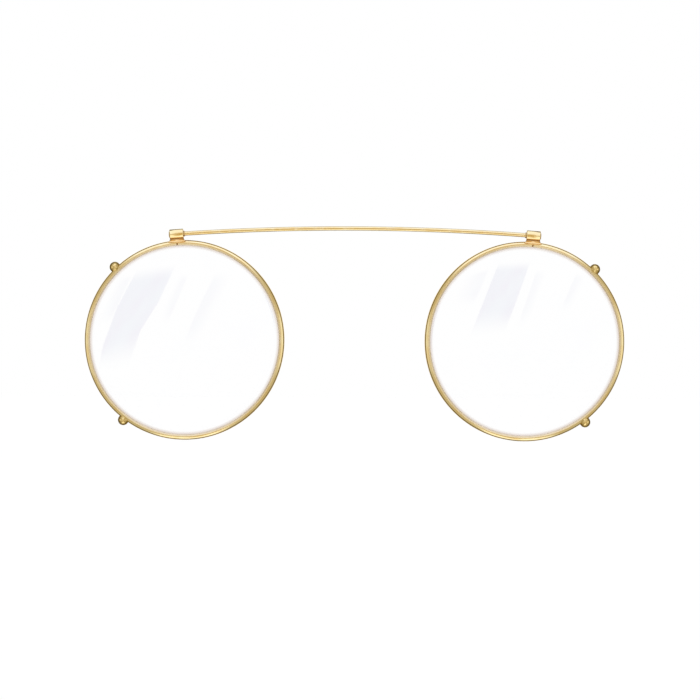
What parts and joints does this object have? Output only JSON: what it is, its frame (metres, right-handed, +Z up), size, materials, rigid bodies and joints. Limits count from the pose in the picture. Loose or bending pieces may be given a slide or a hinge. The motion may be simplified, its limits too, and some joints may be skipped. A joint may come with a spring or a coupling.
{
  "type": "clip-on eyeglasses",
  "caption": "Round clear lenses in thin gold rims, joined by a bowed spring wire across the top, with sleeved claws on the outer edges that hook over a spectacle frame.",
  "frame": {"origin": "midway between the lens centres, on the flat back of the rims, where the spectacle frame's front bears", "axes": "+X from left to right as seen from the front, +Y back towards the wearer, +Z up"},
  "size_m": [0.1216, 0.0074, 0.0483],
  "materials": {
    "gold_metal": "polished gold plate",
    "clear_lens": "polished, coated",
    "clear_sleeve": "soft clear plastic"
  },
  "bodies": {
    "bow": {"bridge_wire": "gold_metal"},
    "left_wire_end": {"left_wire_collar": "gold_metal", "left_wire_end_cap": "gold_metal"},
    "right_wire_end": {"right_wire_collar": "gold_metal", "right_wire_end_cap": "gold_metal"},
    "left_lens_unit": {"left_barrel": "gold_metal", "left_barrel_saddle": "gold_metal", "left_rim": "gold_metal", "left_lens": "clear_lens", "left_upper_claw": "gold_metal", "left_lower_claw": "gold_metal", "left_upper_claw_sleeve": "clear_sleeve", "left_lower_claw_sleeve": "clear_sleeve"},
    "right_lens_unit": {"right_barrel": "gold_metal", "right_barrel_saddle": "gold_metal", "right_rim": "gold_metal", "right_lens": "clear_lens", "right_upper_claw": "gold_metal", "right_lower_claw": "gold_metal", "right_upper_claw_sleeve": "clear_sleeve", "right_lower_claw_sleeve": "clear_sleeve"}
  },
  "joints": [
    {"name": "left_bow_flex", "type": "hinge", "parent": "bow", "child": "left_wire_end", "pos_m": [-0.0201, -0.00085, 0.02493], "axis": [0, 1, 0], "range_deg": [-10, 10], "stiffness_Nm_per_rad": 0.2, "deforming": ["bridge_wire"]},
    {"name": "right_bow_flex", "type": "hinge", "parent": "bow", "child": "right_wire_end", "pos_m": [0.0201, -0.00085, 0.02493], "axis": [0, 1, 0], "range_deg": [-10, 10], "stiffness_Nm_per_rad": 0.2, "deforming": ["bridge_wire"]},
    {"name": "left_lens_swivel", "type": "hinge", "parent": "left_wire_end", "child": "left_lens_unit", "pos_m": [-0.04022, -0.00085, 0.02382], "axis": [0.9973, 0, 0.073], "range_deg": [-30, 30]},
    {"name": "right_lens_swivel", "type": "hinge", "parent": "right_wire_end", "child": "right_lens_unit", "pos_m": [0.04022, -0.00085, 0.02382], "axis": [0.9973, 0, -0.073], "range_deg": [-30, 30]}
  ],
  "couplings": [
    {"joint": "right_bow_flex", "follows": "left_bow_flex", "ratio": -1}
  ]
}
